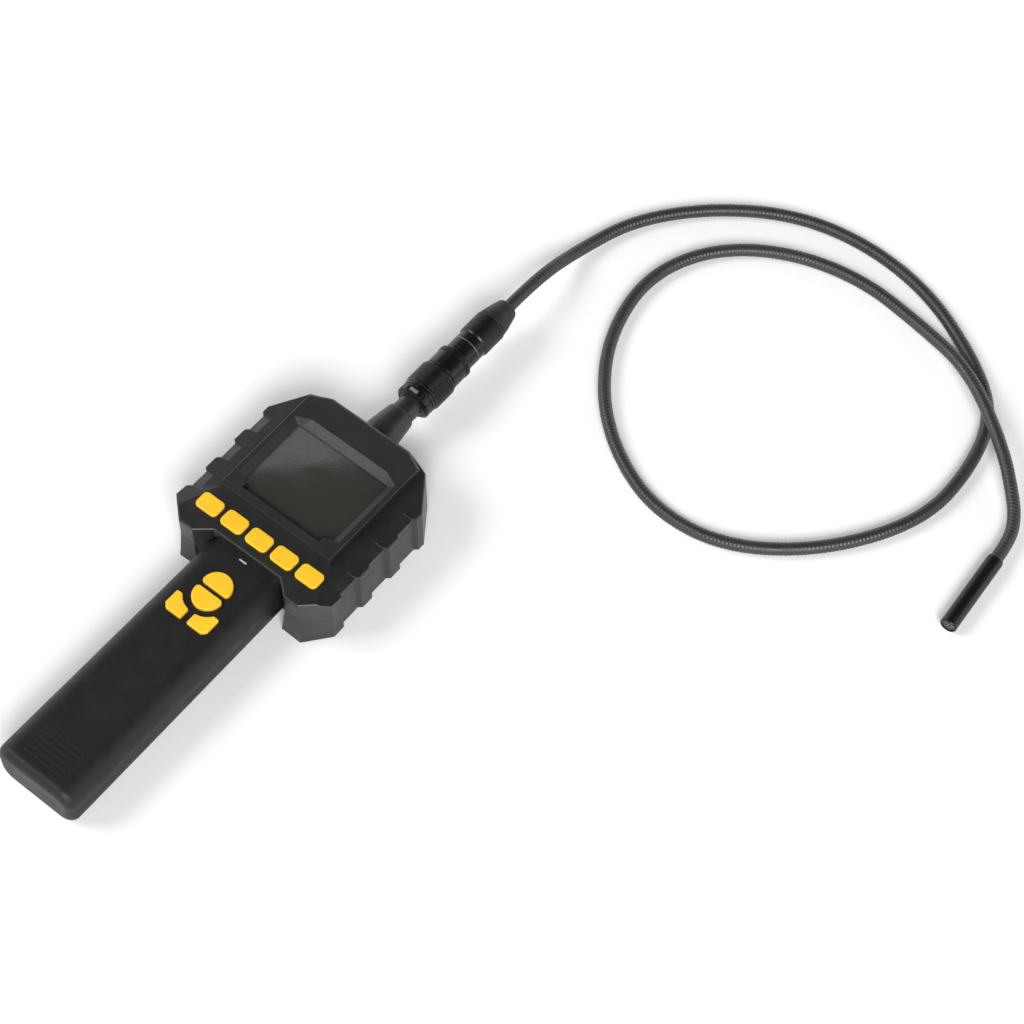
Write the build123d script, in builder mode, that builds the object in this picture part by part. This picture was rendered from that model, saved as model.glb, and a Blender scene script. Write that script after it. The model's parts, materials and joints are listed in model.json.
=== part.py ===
from build123d import *
import math
import os

# Inspection camera: a handset with a screen head and a keyed handle, and a gooseneck probe on a
# plug-in cable.
#
# Frame: millimetres, +Z up. The handset lies on its back on z = 0 with its length along Y. The
# handle points towards -Y and the cable leaves towards +Y. The origin is the centre of the
# handset's footprint, which is also where the head's lower edge crosses the centre line.

# ---------------------------------------------------------------- head: driving dimensions
HEAD_HALF_WIDTH = 51.2          # over the outer lands of the side walls
HEAD_TOP_Y = 102.2
KEY_FACE_Z = 32.0               # flat face around the screen keys
FLANK_EDGE_Z = 29.2             # outer edge of the sloping flanks
FLANK_CREASE_X = 36.4           # where the flank starts to fall away
FACET_END_Y = 18.0              # the facets by the lower corners reach this far up the edge
HEAD_WALL = 4.2
HEAD_FLOOR = 2.5
FLANK_CEILING_Z = 26.6          # inside of the front cover under the flanks
FACE_CEILING_Z = 29.4           # inside of the front cover under the key face
PARTING_GAP = 0.24
FACE_EDGE = 0.6                 # chamfer around the front of the head
LIP_OUTER_INSET = 3.0           # the rear cover's locating lip stands inside the front cover
LIP_RISE = 1.4
LIP_CLEARANCE = 0.15

# right-hand half of the head's plan, from the handle notch round to the top edge
HEAD_HALF_PLAN = [(21.8, 6.9), (30.2, 0.0), (39.0, 0.0), (HEAD_HALF_WIDTH, 11.2),
                  (HEAD_HALF_WIDTH, 79.8), (38.3, 98.0), (26.0, HEAD_TOP_Y)]
# the head's feet spread below the parting line: plan of one foot there and at the back
FOOT_TOP_PLAN = [(30.2, 0.0), (39.0, 0.0), (HEAD_HALF_WIDTH, 11.2), (46.0, 20.0), (30.2, 12.0)]
FOOT_BACK_PLAN = [(27.9, -1.9), (40.2, -2.3), (HEAD_HALF_WIDTH, 11.0), (46.0, 20.0), (30.2, 12.0)]
# parting line of the two head covers, seen from the side as (y, z)
PARTING_LINE = [(-5.0, 18.5), (0.5, 18.5), (11.0, 20.7), (17.0, 24.0), (115.0, 24.0)]

# side recesses between the lands
RIB_PITCH = 21.5
RIB_WIDTH = 7.4
FIRST_RIB_Y = 36.2
RECESS_DEPTH = 1.9
RECESS_COUNT = 3
RECESS_RAMP = 1.4
FLANK_SCOOP_X = 44.0            # the recesses run out on the flank at this width

# ---------------------------------------------------------------- screen
BEZEL_HALF_PLAN = [(36.0, 27.8), (36.0, 96.4), (25.4, 101.4)]
BEZEL_TOP_Z = 36.5
GLASS_TOP_Z = 33.2
WINDOW_SILL = [(26.0, 32.8), (26.0, 36.9), (28.95, 38.5), (28.95, 78.9), (28.55, 79.3)]
WINDOW_RIM = [(25.4, 32.2), (25.4, 35.7), (33.1, 38.7), (33.1, 80.5), (24.6, 84.3)]
GLASS_X, GLASS_Y = 31.0, (31.5, 81.5)
DISPLAY_X, DISPLAY_Y = 29.2, (36.6, 79.9)
DISPLAY_BACK_X, DISPLAY_BACK_Y = 33.5, (32.0, 84.5)

# ---------------------------------------------------------------- keys
KEY_GAP = 0.3                   # all round, between a key and its opening
KEY_TRAVEL = 1.0
SCREEN_KEY_COUNT = 5
SCREEN_KEY_PITCH = 16.35
SCREEN_KEY_Y = 16.4
SCREEN_KEY_SIZE = (13.6, 9.6)
SCREEN_KEY_CORNER = 2.6
SCREEN_KEY_TOP_Z = 33.2
HANDLE_KEY_TOP_Z = 29.9
KEY_FLANGE_THICKNESS = 1.0
KEY_STEM_GAP = 0.15             # left between a fully pressed stem and its switch
SWITCH_SIZE = (6.0, 6.0, 1.7)
BOARD_THICKNESS = 1.6

# the two middle handle keys are round with one flat side each, flat side to flat side
ROUND_KEY_RADIUS = 8.3
ROUND_KEY_CENTRES_Y = (-15.5, -21.6)
ROUND_KEY_FLATS_Y = (-17.4, -19.7)
# right-hand wing key: outline points around its concave corner
WING_INNER_X, WING_OUTER_X = 2.1, 13.6
WING_TOP_Y, WING_SHOULDER_Y, WING_BOTTOM_Y = -28.6, -33.3, -39.6

# ---------------------------------------------------------------- handle
HANDLE_DEPTH = 28.0
HANDLE_BUTT_Y = -146.0
HANDLE_HEAD_Y = 10.1            # the handle's tongue reaches this far into the head
HANDLE_HALF_WIDTHS = (24.8, 23.9)   # at the butt, and inside the head
HANDLE_CORNER = 10.0
HANDLE_WALL = 2.3
BUTT_ROUNDING = 5.0
HANDLE_CLEARANCE = 0.3
HANDLE_SPLIT_GAP = 0.16
INDICATOR_SIZE = (4.6, 0.8)
INDICATOR_Y = 3.7
GRIP_RIB_COUNT = 6
GRIP_RIB_PITCH = 3.1
GRIP_RIB_Y = -137.0

# ---------------------------------------------------------------- batteries (AA cells)
CELL_DIAMETER, CELL_LENGTH = 14.3, 49.3
CELL_NIPPLE = (5.5, 1.2)        # diameter and height of the positive cap
CELL_X, CELL_Z = 7.7, 10.6
CELL_HEAD_END_Y = -36.4
CELL_STACK_GAP = 0.2
TRAY_WALL = 1.2
DOOR_HALF_WIDTH = 16.0
DOOR_THICKNESS = 2.0
DOOR_HEAD_Y = -35.0
DOOR_TONGUE = (1.3, 0.9)        # width and height of the sliding tongues
DOOR_GAP = 0.2

# ---------------------------------------------------------------- cable connector, along +Y
AXIS_Z = 18.6
NECK_STEP_Y = 124.1
SOCKET_Y = 131.6
NUT_Y = (139.1, 154.3)
NUT_RADIUS = 10.9
SPIGOT_END_Y = 146.0
PLUG_SHOULDER_Y = 154.6
PLUG_FLANGE_Y = (164.8, 167.6)
SLEEVE_Y = (180.9, 196.4)
RELIEF_END_Y = 210.5
RUNNING_GAP = 0.08
PIN_CIRCLE_RADIUS = 3.4
PIN_COUNT = 4

# ---------------------------------------------------------------- gooseneck and probe
CABLE_DIAMETER = 7.0
CABLE_FLOOR_Z = CABLE_DIAMETER / 2
PROBE_RADIUS = 4.5
PROBE_LENGTH = 47.8
CROSSING_Z = 11.2               # the second pass rides over the first one here
# Corners of the cable's centre line, from the strain relief round one open loop to the probe.
CABLE_ROUTE = [
    (0.0, RELIEF_END_Y, AXIS_Z),
    (0.0, 236.0, AXIS_Z),
    (-1.0, 271.0, 4.5),
    (9.6, 307.4, CABLE_FLOOR_Z),
    (37.6, 340.5, CABLE_FLOOR_Z),
    (75.6, 365.5, CABLE_FLOOR_Z),
    (117.7, 373.5, CABLE_FLOOR_Z),
    (162.6, 367.4, CABLE_FLOOR_Z),
    (205.3, 346.0, CABLE_FLOOR_Z),
    (231.0, 324.4, CABLE_FLOOR_Z),
    (241.0, 291.2, CABLE_FLOOR_Z),
    (240.4, 249.2, CABLE_FLOOR_Z),
    (212.8, 204.0, CABLE_FLOOR_Z),
    (172.8, 172.9, CABLE_FLOOR_Z),
    (131.4, 167.2, CABLE_FLOOR_Z),
    (95.2, 181.7, CABLE_FLOOR_Z),
    (66.2, 206.1, CABLE_FLOOR_Z),
    (45.4, 240.3, CABLE_FLOOR_Z),
    (38.2, 281.6, CABLE_FLOOR_Z),
    (53.4, 317.6, CABLE_FLOOR_Z),
    (86.0, 342.2, CABLE_FLOOR_Z),
    (128.0, 352.6, CABLE_FLOOR_Z),
    (171.0, 346.8, 4.0),
    (209.0, 334.6, CROSSING_Z),
    (249.0, 305.6, CROSSING_Z),
    (268.2, 287.0, 6.4),
    (276.2, 277.0, 4.9),
    (280.8, 265.2, PROBE_RADIUS),
    (281.6, 252.5, PROBE_RADIUS),
]

CABLE_FRAME = Plane(origin=(0, 0, AXIS_Z), x_dir=(0, 1, 0), z_dir=(1, 0, 0))
PROBE_DIRECTION = Vector(*CABLE_ROUTE[-1]) - Vector(*CABLE_ROUTE[-2])
PROBE_FRAME = Plane(origin=CABLE_ROUTE[-1], x_dir=PROBE_DIRECTION, z_dir=(0, 0, 1))

os.makedirs("parts", exist_ok=True)


# ---------------------------------------------------------------- shared shapes
def save(name, part):
    """Label one finished piece and write it to its own STEP file."""
    part.label = name
    export_step(part, f"parts/{name}.step")


def both_halves(half_plan):
    """Close a symmetric outline from its right-hand points."""
    return half_plan + [(-x, y) for x, y in reversed(half_plan)]


def prism(points, bottom, top):
    """Upright prism over a plan outline."""
    with BuildPart() as solid:
        with BuildSketch(Plane.XY.offset(bottom)):
            Polygon(*points, align=None)
        extrude(amount=top - bottom)
    return solid.part


def block(x_range, y_range, z_range):
    """Box between two values on each axis."""
    sizes = [high - low for low, high in (x_range, y_range, z_range)]
    middle = [(high + low) / 2 for low, high in (x_range, y_range, z_range)]
    with BuildPart() as solid:
        with Locations(tuple(middle)):
            Box(*sizes)
    return solid.part


def pad(outline, bottom, top):
    """Extrude a ready-made sketch between two heights."""
    with BuildPart() as solid:
        with BuildSketch(Plane.XY.offset(bottom)):
            add(outline)
        extrude(amount=top - bottom)
    return solid.part


def turned(profile, frame=CABLE_FRAME):
    """Solid of revolution: profile points are (distance along the axis, radius)."""
    with BuildPart() as solid:
        with BuildSketch(frame):
            Polygon(*profile, align=None)
        revolve(axis=Axis(frame.origin, frame.x_dir))
    return solid.part


def ring_profile(start, end, inner, outer, edge=0.3):
    """Profile of a plain ring with small chamfers on its outer edges."""
    return [(start, inner), (start, outer - edge), (start + edge, outer), (end - edge, outer),
            (end, outer - edge), (end, inner)]


def cross_plane(distance, frame=CABLE_FRAME):
    """Plane square to a frame's axis at a distance along it."""
    origin = frame.origin + frame.x_dir * distance
    return Plane(origin=origin, x_dir=frame.z_dir, z_dir=frame.x_dir)


def pin_group(frame, start, end, radius, circle_radius, count):
    """Equal round pins on a circle about a frame's axis."""
    with BuildPart() as pins:
        with BuildSketch(cross_plane(start, frame)):
            with PolarLocations(circle_radius, count, start_angle=45):
                Circle(radius)
        extrude(amount=end - start)
    return pins.part


# ---------------------------------------------------------------- head covers
def head_prism(inset, bottom, top):
    """The head's plan, moved in by an inset, as an upright prism."""
    with BuildPart() as solid:
        with BuildSketch(Plane.XY.offset(bottom)):
            Polygon(*both_halves(HEAD_HALF_PLAN), align=None)
            if inset:
                offset(amount=-inset, kind=Kind.INTERSECTION)
        extrude(amount=top - bottom)
    return solid.part


def above_plane(region, plane):
    """Part of a tall prism that lies above a sloping plane."""
    with BuildPart() as solid:
        add(prism(region, 20, 45))
        split(bisect_by=plane, keep=Keep.TOP)
    return solid.part


def flank_cut(side):
    """What is cut away above one flank: the long slope, then the facet by the lower corner."""
    crease_end = (FLANK_CREASE_X, 28.0)
    facet_edge = (HEAD_HALF_WIDTH, FACET_END_Y)
    seam_slope = (facet_edge[1] - crease_end[1]) / (facet_edge[0] - crease_end[0])
    far_x = 60.0
    seam_end = (far_x, crease_end[1] + seam_slope * (far_x - crease_end[0]))
    fall = KEY_FACE_Z - FLANK_EDGE_Z
    run = HEAD_HALF_WIDTH - FLANK_CREASE_X
    slope = Plane(origin=(side * FLANK_CREASE_X, 0, KEY_FACE_Z), z_dir=(side * fall, 0, run))
    corner = Vector(side * crease_end[0], crease_end[1], KEY_FACE_Z)
    along_crease = Vector(side * 9.1, -22.0, 0)
    along_seam = Vector(side * facet_edge[0], facet_edge[1], FLANK_EDGE_Z) - corner
    normal = along_crease.cross(along_seam)
    facet = Plane(origin=corner, z_dir=normal if normal.Z > 0 else normal * -1)
    upper = [crease_end, seam_end, (far_x, 115), (crease_end[0], 115)]
    lower = [crease_end, seam_end, (far_x, -10), (crease_end[0], -10)]
    with BuildPart() as cut:
        add(above_plane([(side * x, y) for x, y in upper], slope))
        add(above_plane([(side * x, y) for x, y in lower], facet))
    return cut.part


def flank_height(x):
    """Height of the long slope at a distance from the centre line."""
    fall = KEY_FACE_Z - FLANK_EDGE_Z
    return KEY_FACE_Z - fall * (x - FLANK_CREASE_X) / (HEAD_HALF_WIDTH - FLANK_CREASE_X)


def recess_cut(side, middle_y):
    """One side recess: a shallow bay in the wall that runs out as a scoop on the flank."""
    half = (RIB_PITCH - RIB_WIDTH) / 2
    wall_x = HEAD_HALF_WIDTH - RECESS_DEPTH
    bay = [(wall_x, middle_y - half + RECESS_RAMP), (wall_x, middle_y + half - RECESS_RAMP),
           (HEAD_HALF_WIDTH + 1, middle_y + half + 1), (HEAD_HALF_WIDTH + 1, middle_y - half - 1)]
    scoop = [(FLANK_SCOOP_X - 1, middle_y - half + 2), (FLANK_SCOOP_X - 1, middle_y + half - 2),
             (wall_x + 0.1, middle_y + half - RECESS_RAMP), (wall_x + 0.1, middle_y - half + RECESS_RAMP)]
    scoop_drop = 1.3
    edge = Vector(side * FLANK_SCOOP_X, 0, flank_height(FLANK_SCOOP_X))
    run = wall_x - FLANK_SCOOP_X
    fall = edge.Z - (flank_height(wall_x) - scoop_drop)
    with BuildPart() as cut:
        add(prism([(side * x, y) for x, y in bay], -1, 45))
        add(above_plane([(side * x, y) for x, y in scoop], Plane(origin=edge, z_dir=(side * fall, 0, run))))
    return cut.part


def foot_flare(side):
    """One foot of the head, spreading from the parting line down to the back."""
    with BuildPart() as foot:
        with BuildSketch(Plane.XY):
            Polygon(*[(side * x, y) for x, y in FOOT_BACK_PLAN], align=None)
        with BuildSketch(Plane.XY.offset(18.2)):
            Polygon(*[(side * x, y) for x, y in FOOT_TOP_PLAN], align=None)
        loft(ruled=True)
    return foot.part


def front_rim(head):
    """Edges where the head's front meets its upright walls; the corner facets keep theirs sharp."""
    walls = [face for face in head.faces() if abs(face.normal_at().Z) < 0.05]
    rim = []
    for wall in walls:
        for edge in wall.edges():
            near_front = edge.center().Z > FLANK_EDGE_Z - 1 and abs((edge % 0.5).Z) < 0.6
            on_facet = edge.center().Y < FACET_END_Y and edge.center().Z < KEY_FACE_Z - 0.1
            if near_front and not on_facet:
                rim.append(edge)
    return rim


def head_envelope():
    """Outside of the whole head before it is parted into covers."""
    with BuildPart() as head:
        add(head_prism(0, 0, KEY_FACE_Z))
        for side in (-1, 1):
            add(flank_cut(side), mode=Mode.SUBTRACT)
        chamfer(front_rim(head), length=FACE_EDGE)
        for side in (-1, 1):
            add(foot_flare(side))
            for number in range(RECESS_COUNT):
                middle_y = FIRST_RIB_Y + RIB_PITCH * (number - 0.5)
                add(recess_cut(side, middle_y), mode=Mode.SUBTRACT)
    return head.part


def below_parting(shift):
    """Everything under the parting line, moved up or down by a shift."""
    line = [(y, z + shift) for y, z in PARTING_LINE]
    with BuildPart() as solid:
        with BuildSketch(Plane.YZ.offset(-60)):
            Polygon((line[0][0], -5), *line, (line[-1][0], -5), align=None)
        extrude(amount=120)
    return solid.part


def lip_ring(clearance, rise):
    """Locating lip of the rear cover, or with a clearance the groove that takes it."""
    with BuildPart() as ring:
        add(head_prism(LIP_OUTER_INSET - clearance, 5, 30))
        add(head_prism(HEAD_WALL + clearance, 0, 40), mode=Mode.SUBTRACT)
        add(below_parting(rise), mode=Mode.INTERSECT)
    return ring.part


def head_cavity():
    """Room inside the head: full width under the flanks, higher under the key face."""
    with BuildPart() as room:
        add(head_prism(HEAD_WALL, HEAD_FLOOR, FLANK_CEILING_Z))
        face_z = (FLANK_CEILING_Z - 1, FACE_CEILING_Z)
        add(block((-34.5, 34.5), (20, HEAD_TOP_Y - HEAD_WALL), face_z))
        add(block((-41.2, 41.2), (10.4, 22.6), face_z))
    return room.part


def handle_body(inset, butt_y, head_y):
    """The handle's outside, or with an inset its inside, lofted from butt to head."""
    with BuildPart() as body:
        for y, half_width in zip((butt_y, head_y), HANDLE_HALF_WIDTHS):
            with BuildSketch(Plane(origin=(0, y, HANDLE_DEPTH / 2), x_dir=(1, 0, 0), z_dir=(0, -1, 0))):
                RectangleRounded(2 * (half_width - inset), HANDLE_DEPTH - 2 * inset, HANDLE_CORNER - inset)
        loft()
    return body.part


def neck_hole():
    """Round hole in the head's top wall for the neck."""
    return turned([(92, 0), (92, 10.1), (105, 10.1), (105, 0)])


def wire_passage():
    """Opening between the handle and the head for the wires."""
    return block((-19, 19), (HANDLE_HEAD_Y, 13), (4.5, 23.5))


HEAD_SCREW_SPOTS = [(42.5, 14.0), (42.3, 79.5), (30.0, 92.5), (-42.5, 14.0), (-42.3, 79.5), (-30.0, 92.5)]
HANDLE_SCREW_SPOTS = [(18.0, -28.0), (-18.0, -28.0), (18.0, 3.4), (-18.0, 3.4)]
BOARD_SCREW_SPOTS = [(34.0, 32.5), (-34.0, 32.5), (34.0, 80.0), (-34.0, 80.0)]
KEY_BOARD_POSTS = [(24.0, 24.4), (-24.0, 24.4)]
HANDLE_BOARD_POSTS = [(11.0, -42.6), (-11.0, -42.6), (11.0, 7.9), (-11.0, 7.9)]
SCREW_SHANK, SCREW_HEAD, SCREW_HEAD_HEIGHT = 1.35, 2.6, 1.9
HEAD_SCREW_SEAT_Z = 3.0
HANDLE_SCREW_SEAT_Z = 4.4       # deeper, so the heads sit under the rounded back
BOSS_RADIUS = 3.3


def posts(spots, radius, bottom, top):
    """Round posts or holes at listed places."""
    with BuildPart() as group:
        with BuildSketch(Plane.XY.offset(bottom)):
            with Locations(*spots):
                Circle(radius)
        extrude(amount=top - bottom)
    return group.part


def screw_holes(spots, seat_z, shank_top):
    """Counterbored holes entered from the back."""
    with BuildPart() as holes:
        add(posts(spots, SCREW_HEAD + 0.2, -1, seat_z))
        add(posts(spots, SCREW_SHANK + 0.05, -1, shank_top))
    return holes.part


def screws(spots, seat_z, tip_z):
    """Pan-head screws whose heads sit in the counterbores, each with a cross recess."""
    head_z = seat_z - SCREW_HEAD_HEIGHT
    with BuildPart() as group:
        add(posts(spots, SCREW_HEAD, head_z, seat_z))
        rims = group.faces().group_by(Axis.Z)[0].edges()
        fillet(rims, radius=0.7)
        add(posts(spots, SCREW_SHANK, seat_z, tip_z))
        with Locations(*[(x, y, head_z) for x, y in spots]):
            Box(2.6, 0.5, 1.8, mode=Mode.SUBTRACT)
            Box(0.5, 2.6, 1.8, mode=Mode.SUBTRACT)
    return group.part


def screen_key_outline():
    """Plan of one screen key, centred on its own place."""
    with BuildSketch() as outline:
        RectangleRounded(*SCREEN_KEY_SIZE, SCREEN_KEY_CORNER)
    return outline.sketch


def screen_key_places():
    """Centres of the screen keys along their row."""
    middle = (SCREEN_KEY_COUNT - 1) / 2
    return [((number - middle) * SCREEN_KEY_PITCH, SCREEN_KEY_Y) for number in range(SCREEN_KEY_COUNT)]


def grown(outline, amount):
    """An outline grown by a rounded offset."""
    with BuildSketch() as bigger:
        add(outline)
        offset(amount=amount)
    return bigger.sketch


def head_rear_cover():
    with BuildPart() as cover:
        add(head_envelope())
        add(below_parting(-PARTING_GAP / 2), mode=Mode.INTERSECT)
        add(lip_ring(0, LIP_RISE))
        add(head_cavity(), mode=Mode.SUBTRACT)
        add(posts(HEAD_SCREW_SPOTS, BOSS_RADIUS, 1, 23.8))
        add(posts(BOARD_SCREW_SPOTS, BOSS_RADIUS, 1, 12.0))
        add(handle_body(-HANDLE_CLEARANCE, HANDLE_BUTT_Y, HANDLE_HEAD_Y + 0.3), mode=Mode.SUBTRACT)
        add(wire_passage(), mode=Mode.SUBTRACT)
        add(neck_hole(), mode=Mode.SUBTRACT)
        add(screw_holes(HEAD_SCREW_SPOTS, HEAD_SCREW_SEAT_Z, 30), mode=Mode.SUBTRACT)
        add(posts(BOARD_SCREW_SPOTS, 1.1, 6.0, 13), mode=Mode.SUBTRACT)
    return cover.part


def head_front_cover():
    with BuildPart() as cover:
        add(head_envelope())
        add(below_parting(PARTING_GAP / 2), mode=Mode.SUBTRACT)
        add(lip_ring(LIP_CLEARANCE, LIP_RISE + LIP_CLEARANCE), mode=Mode.SUBTRACT)
        add(head_cavity(), mode=Mode.SUBTRACT)
        beside_keys = [spot for spot in HEAD_SCREW_SPOTS if spot[1] < 20]
        beside_screen = [spot for spot in HEAD_SCREW_SPOTS if spot[1] > 20]
        add(posts(beside_keys, BOSS_RADIUS, 24.1, FLANK_CEILING_Z + 0.4))
        add(posts(beside_screen, BOSS_RADIUS, 24.1, FACE_CEILING_Z + 0.4))
        add(posts(KEY_BOARD_POSTS, 1.6, SCREEN_KEY_BOARD_TOP, FACE_CEILING_Z + 0.5))
        add(posts(HEAD_SCREW_SPOTS, SCREW_SHANK + 0.05, 23, FLANK_CEILING_Z + 1.2), mode=Mode.SUBTRACT)
        add(handle_body(-HANDLE_CLEARANCE, HANDLE_BUTT_Y, HANDLE_HEAD_Y + 0.3), mode=Mode.SUBTRACT)
        add(wire_passage(), mode=Mode.SUBTRACT)
        add(neck_hole(), mode=Mode.SUBTRACT)
        add(block((-29.5, 29.5), (36.3, 80.2), (25, 35)), mode=Mode.SUBTRACT)
        with BuildSketch(Plane.XY.offset(25)):
            with Locations(*screen_key_places()):
                add(grown(screen_key_outline(), KEY_GAP))
        extrude(amount=15, mode=Mode.SUBTRACT)
    return cover.part


# ---------------------------------------------------------------- screen pieces
def window_recess():
    """Sloping walls from the bezel's rim down to the visible glass."""
    with BuildPart() as recess:
        with BuildSketch(Plane.XY.offset(GLASS_TOP_Z)):
            Polygon(*both_halves(WINDOW_SILL), align=None)
        with BuildSketch(Plane.XY.offset(BEZEL_TOP_Z)):
            Polygon(*both_halves(WINDOW_RIM), align=None)
        loft(ruled=True)
    return recess.part


def screen_bezel():
    with BuildPart() as bezel:
        add(prism(both_halves(BEZEL_HALF_PLAN), KEY_FACE_Z, BEZEL_TOP_Z))
        top_edges = bezel.faces().sort_by(Axis.Z)[-1].edges()
        crown = [edge for edge in top_edges if edge.center().Y > 97]
        fillet(crown, radius=2.6)
        sides = [edge for edge in bezel.edges().filter_by(Axis.Y) if edge.center().Z > 36]
        fillet(sides, radius=0.8)
        add(window_recess(), mode=Mode.SUBTRACT)
        pocket_y = (GLASS_Y[0] - 0.2, GLASS_Y[1] + 0.2)
        add(block((-GLASS_X - 0.2, GLASS_X + 0.2), pocket_y, (31, GLASS_TOP_Z)), mode=Mode.SUBTRACT)
    return bezel.part


def screen_window():
    with BuildPart() as window:
        add(block((-GLASS_X, GLASS_X), GLASS_Y, (KEY_FACE_Z, GLASS_TOP_Z - 0.02)))
        fillet(window.edges().filter_by(Axis.Z), radius=1.5)
    return window.part


def display_module():
    with BuildPart() as display:
        add(block((-DISPLAY_X, DISPLAY_X), DISPLAY_Y, (27.0, 31.8)))
        add(block((-DISPLAY_BACK_X, DISPLAY_BACK_X), DISPLAY_BACK_Y, (26.4, FACE_CEILING_Z)))
        chamfer(display.faces().sort_by(Axis.Z)[-1].edges(), length=0.3)
    return display.part


# ---------------------------------------------------------------- keys
def key_piece(outline, stem_spot, ceiling_z, top_z, flange, board_top):
    """One key: a soft-edged cap, a flange under the cover and a stem over its switch."""
    flange_top = ceiling_z - 0.15
    flange_bottom = flange_top - KEY_FLANGE_THICKNESS
    stem_bottom = board_top + SWITCH_SIZE[2] + KEY_TRAVEL + KEY_STEM_GAP
    with BuildPart() as key:
        with BuildSketch(Plane.XY.offset(flange_bottom)):
            add(outline)
        extrude(amount=top_z - flange_bottom)
        cap_rim = key.faces().sort_by(Axis.Z)[-1].edges()
        fillet(cap_rim, radius=0.65)
        with BuildSketch(Plane.XY.offset(flange_bottom)):
            add(grown(outline, flange))
        extrude(amount=KEY_FLANGE_THICKNESS)
        add(posts([stem_spot], 1.8, stem_bottom, flange_bottom + 0.2))
    return key.part


def screen_key(place):
    with BuildSketch() as outline:
        with Locations(place):
            add(screen_key_outline())
    return key_piece(outline.sketch, place, FACE_CEILING_Z, SCREEN_KEY_TOP_Z, 1.0, SCREEN_KEY_BOARD_TOP)


def flat_sided_round(upper):
    """Plan of the upper or the lower middle key."""
    number = 0 if upper else 1
    centre_y = ROUND_KEY_CENTRES_Y[number]
    flat_y = ROUND_KEY_FLATS_Y[number]
    with BuildSketch() as outline:
        with Locations((0, centre_y)):
            Circle(ROUND_KEY_RADIUS)
        with Locations((0, flat_y - 10 if upper else flat_y + 10)):
            Rectangle(40, 20, mode=Mode.SUBTRACT)
        fillet(outline.vertices(), radius=2.0)
    return outline.sketch


def wing(side):
    """Left (-1) or right (+1) wing key, hollowed around the middle keys."""
    with BuildSketch() as outline:
        with BuildLine():
            Line((side * 10.3, WING_TOP_Y), (side * WING_OUTER_X, WING_TOP_Y))
            Line((side * WING_OUTER_X, WING_TOP_Y), (side * WING_OUTER_X, WING_BOTTOM_Y + 2.2))
            Line((side * WING_OUTER_X, WING_BOTTOM_Y + 2.2), (side * 11.4, WING_BOTTOM_Y))
            Line((side * 11.4, WING_BOTTOM_Y), (side * WING_INNER_X, WING_BOTTOM_Y))
            Line((side * WING_INNER_X, WING_BOTTOM_Y), (side * WING_INNER_X, WING_SHOULDER_Y))
            ThreePointArc((side * WING_INNER_X, WING_SHOULDER_Y), (side * 7.1, -31.6),
                          (side * 10.3, WING_TOP_Y))
        make_face()
        fillet(outline.vertices(), radius=0.8)
    return outline.sketch


HANDLE_KEYS = {
    "handle_upper_key": (flat_sided_round(True), (0, -13.0)),
    "handle_lower_key": (flat_sided_round(False), (0, -24.0)),
    "handle_left_key": (wing(-1), (-8.3, -35.6)),
    "handle_right_key": (wing(1), (8.3, -35.6)),
}
HANDLE_CEILING_Z = HANDLE_DEPTH - HANDLE_WALL


def handle_key(name):
    outline, stem_spot = HANDLE_KEYS[name]
    return key_piece(outline, stem_spot, HANDLE_CEILING_Z, HANDLE_KEY_TOP_Z, 0.9, HANDLE_KEY_BOARD_TOP)


def switch_group(spots, board_top):
    """Tactile switches: a square body with a round plunger."""
    width, depth, height = SWITCH_SIZE
    with BuildPart() as group:
        with BuildSketch(Plane.XY.offset(board_top)):
            with Locations(*spots):
                RectangleRounded(width - 0.5, depth - 0.5, 0.5)
        extrude(amount=height - 0.5)
        add(posts(spots, 1.5, board_top + height - 0.6, board_top + height))
    return group.part


# ---------------------------------------------------------------- boards
MAIN_BOARD_Z = 12.0
SCREEN_KEY_BOARD_TOP = 24.2
HANDLE_KEY_BOARD_TOP = 19.9


def main_board():
    with BuildPart() as board:
        add(block((-39, 39), (27.5, 88.8), (MAIN_BOARD_Z, MAIN_BOARD_Z + BOARD_THICKNESS)))
        fillet(board.edges().filter_by(Axis.Z), radius=3)
        add(posts(BOARD_SCREW_SPOTS, 1.2, 10, 16), mode=Mode.SUBTRACT)
    return board.part


def board_components():
    """Chips, a shield can and the flat-cable and probe connectors on the main board."""
    top = MAIN_BOARD_Z + BOARD_THICKNESS
    bodies = [((-8, 8), (44, 60), 1.4), ((14, 24), (44, 58), 1.1), ((-28, -12), (40, 64), 3.0),
              ((-14, 14), (28.5, 33.5), 2.4), ((-7, 7), (80, 87), 5.5), ((16, 22), (66, 72), 3.2)]
    with BuildPart() as group:
        for x_range, y_range, height in bodies:
            add(block(x_range, y_range, (top, top + height)))
    return group.part


def board_screws():
    with BuildPart() as group:
        top = MAIN_BOARD_Z + BOARD_THICKNESS
        add(posts(BOARD_SCREW_SPOTS, 2.2, top, top + 1.4))
        add(posts(BOARD_SCREW_SPOTS, 1.05, 6.5, top + 0.1))
    return group.part


def screen_key_board():
    board_z = (SCREEN_KEY_BOARD_TOP - BOARD_THICKNESS, SCREEN_KEY_BOARD_TOP)
    with BuildPart() as board:
        add(block((-38.2, 38.2), (12.9, 26.4), board_z))
        fillet(board.edges().filter_by(Axis.Z), radius=1.5)
    return board.part


def handle_key_board():
    board_z = (HANDLE_KEY_BOARD_TOP - BOARD_THICKNESS, HANDLE_KEY_BOARD_TOP)
    with BuildPart() as board:
        add(block((-14.5, 14.5), (-44.2, 9.5), board_z))
        fillet(board.edges().filter_by(Axis.Z), radius=1)
    return board.part


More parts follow.
